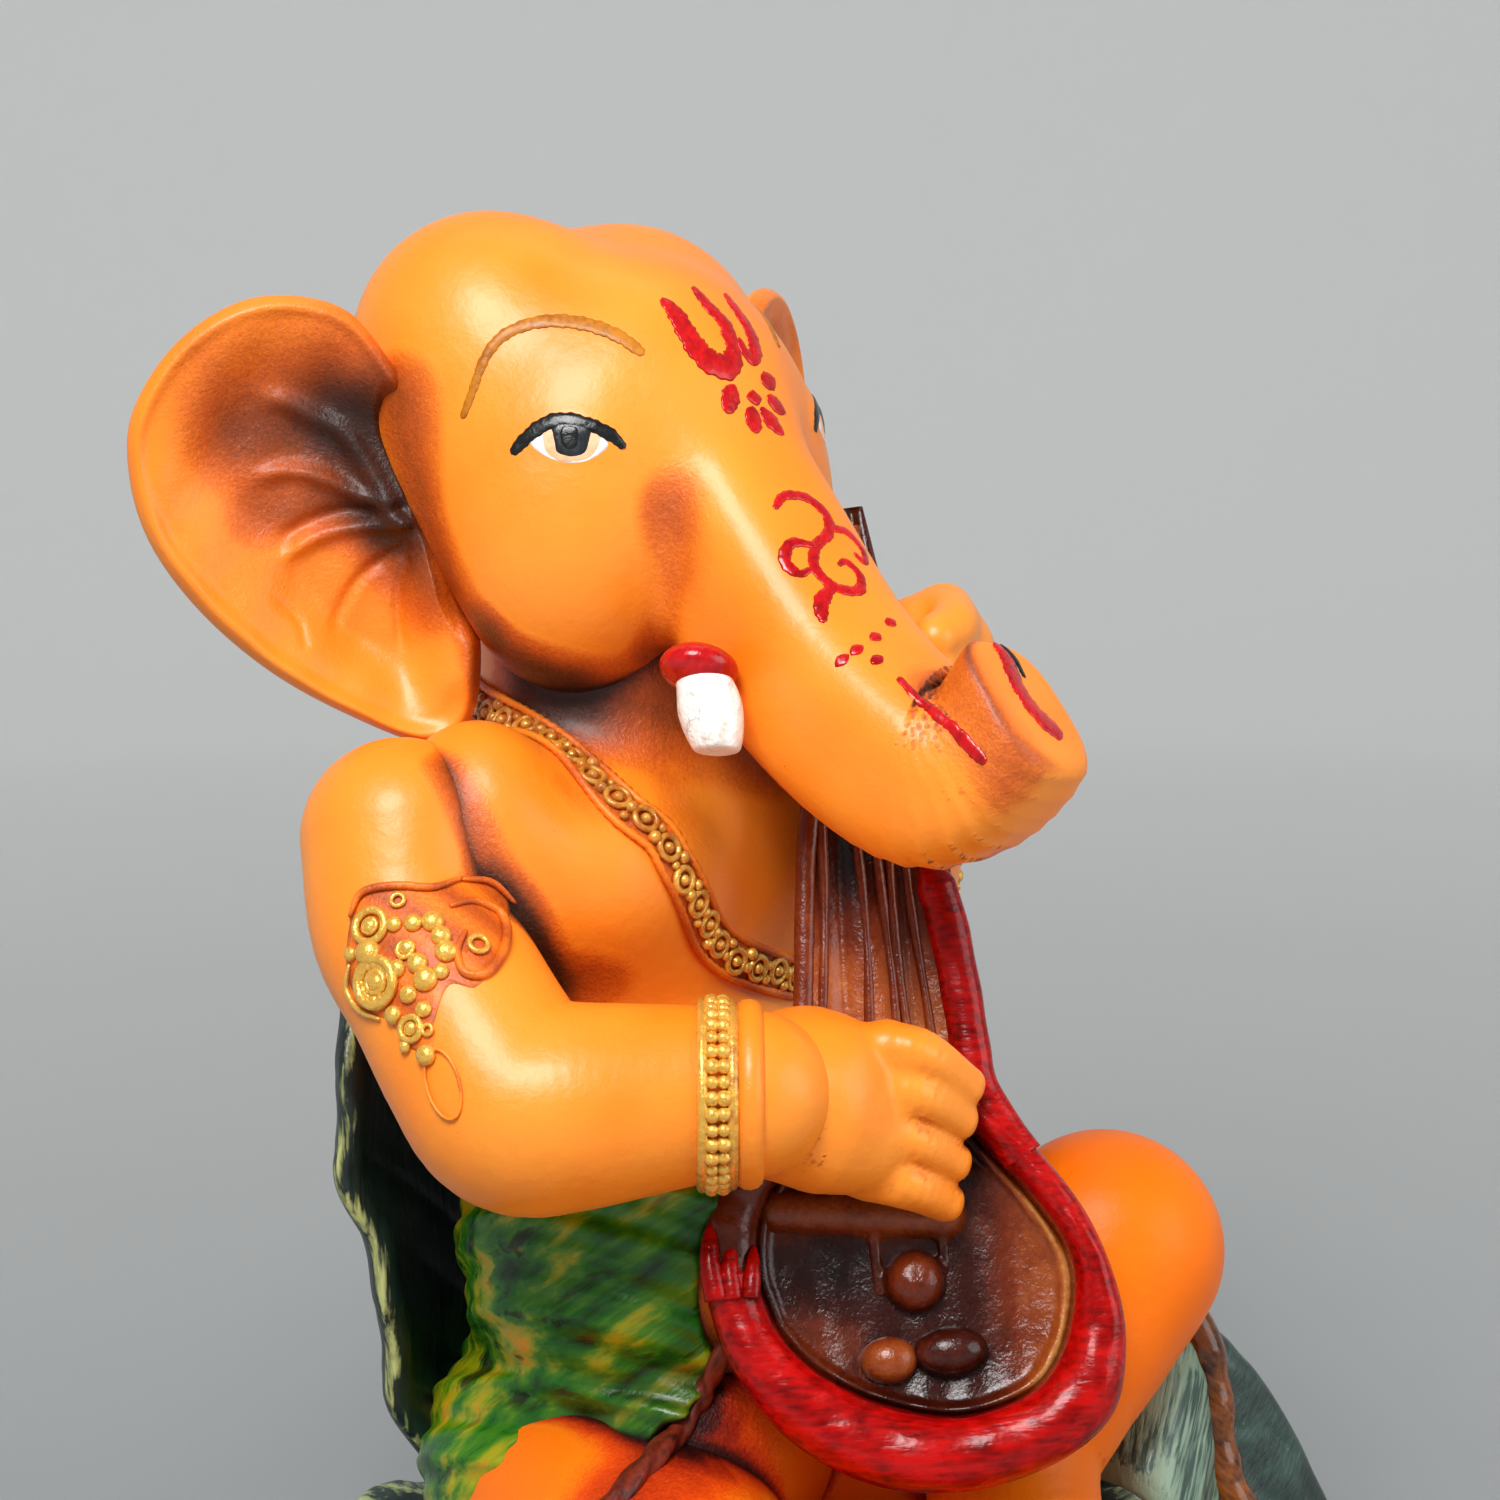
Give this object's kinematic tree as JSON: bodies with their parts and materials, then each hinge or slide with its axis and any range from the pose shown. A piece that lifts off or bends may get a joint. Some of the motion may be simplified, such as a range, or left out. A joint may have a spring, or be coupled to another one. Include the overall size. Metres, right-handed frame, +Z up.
{
  "type": "ganesha idol",
  "caption": "Painted resin Ganesha idol seated on a cupped leaf, leaning back against a second leaf and playing a long-necked lute held across the chest.",
  "frame": {"origin": "middle of the idol's footprint, on the surface it stands on", "axes": "+Z up; the figure faces -Y; its own left hand is on the +X side"},
  "size_m": [0.157, 0.16, 0.239],
  "materials": {
    "skin_paint": "satin orange paint with brown airbrushed shading over cast resin",
    "saffron_cloth_paint": "satin saffron paint over moulded cloth folds",
    "green_cloth_paint": "green paint with yellow-green dry brushing over moulded cloth",
    "brown_cloth_paint": "red-brown satin paint",
    "ivory_paint": "off-white satin paint",
    "red_gloss_paint": "thick glossy red enamel put on by brush",
    "brown_gloss_paint": "glossy dark brown varnish paint",
    "gold_paint": "metallic gold paint rubbed over raised beads, brown in the hollows",
    "dark_leaf_paint": "near-black green paint, pale yellow-green dry brushing on the edges",
    "pale_leaf_paint": "dark green paint dry-brushed pale blue-green"
  },
  "bodies": {
    "root": {"back_leaf": "dark_leaf_paint", "dhoti_hips": "saffron_cloth_paint", "dhoti_left_shin": "saffron_cloth_paint", "dhoti_left_thigh": "saffron_cloth_paint", "dhoti_right_shin": "saffron_cloth_paint", "dhoti_right_thigh": "saffron_cloth_paint", "head": "skin_paint", "leaf_stem": "brown_gloss_paint", "left_armlet": "gold_paint", "left_bracelet": "gold_paint", "left_ear": "skin_paint", "left_foot": "skin_paint", "left_forearm": "skin_paint", "left_hand": "skin_paint", "left_tusk": "ivory_paint", "left_tusk_collar": "red_gloss_paint", "left_upper_arm": "skin_paint", "lute_bowl": "brown_gloss_paint", "lute_bridge": "brown_gloss_paint", "lute_edging_left": "red_gloss_paint", "lute_edging_right": "brown_gloss_paint", "lute_neck": "brown_gloss_paint", "lute_rim": "red_gloss_paint", "lute_soundboard": "brown_gloss_paint", "lute_string_1": "brown_gloss_paint", "lute_string_2": "brown_gloss_paint", "lute_string_3": "brown_gloss_paint", "lute_string_4": "brown_gloss_paint", "lute_string_5": "brown_gloss_paint", "lute_tailpiece_left": "brown_gloss_paint", "lute_tailpiece_right": "brown_gloss_paint", "necklace": "gold_paint", "right_armlet": "gold_paint", "right_bracelet": "gold_paint", "right_ear": "skin_paint", "right_foot": "skin_paint", "right_forearm": "skin_paint", "right_hand": "skin_paint", "right_tusk": "ivory_paint", "right_tusk_collar": "red_gloss_paint", "right_upper_arm": "skin_paint", "sash_hem": "brown_cloth_paint", "seat_leaf": "dark_leaf_paint", "side_leaf": "pale_leaf_paint", "torso": "skin_paint", "trunk": "skin_paint", "waist_sash": "green_cloth_paint"}
  },
  "joints": []
}
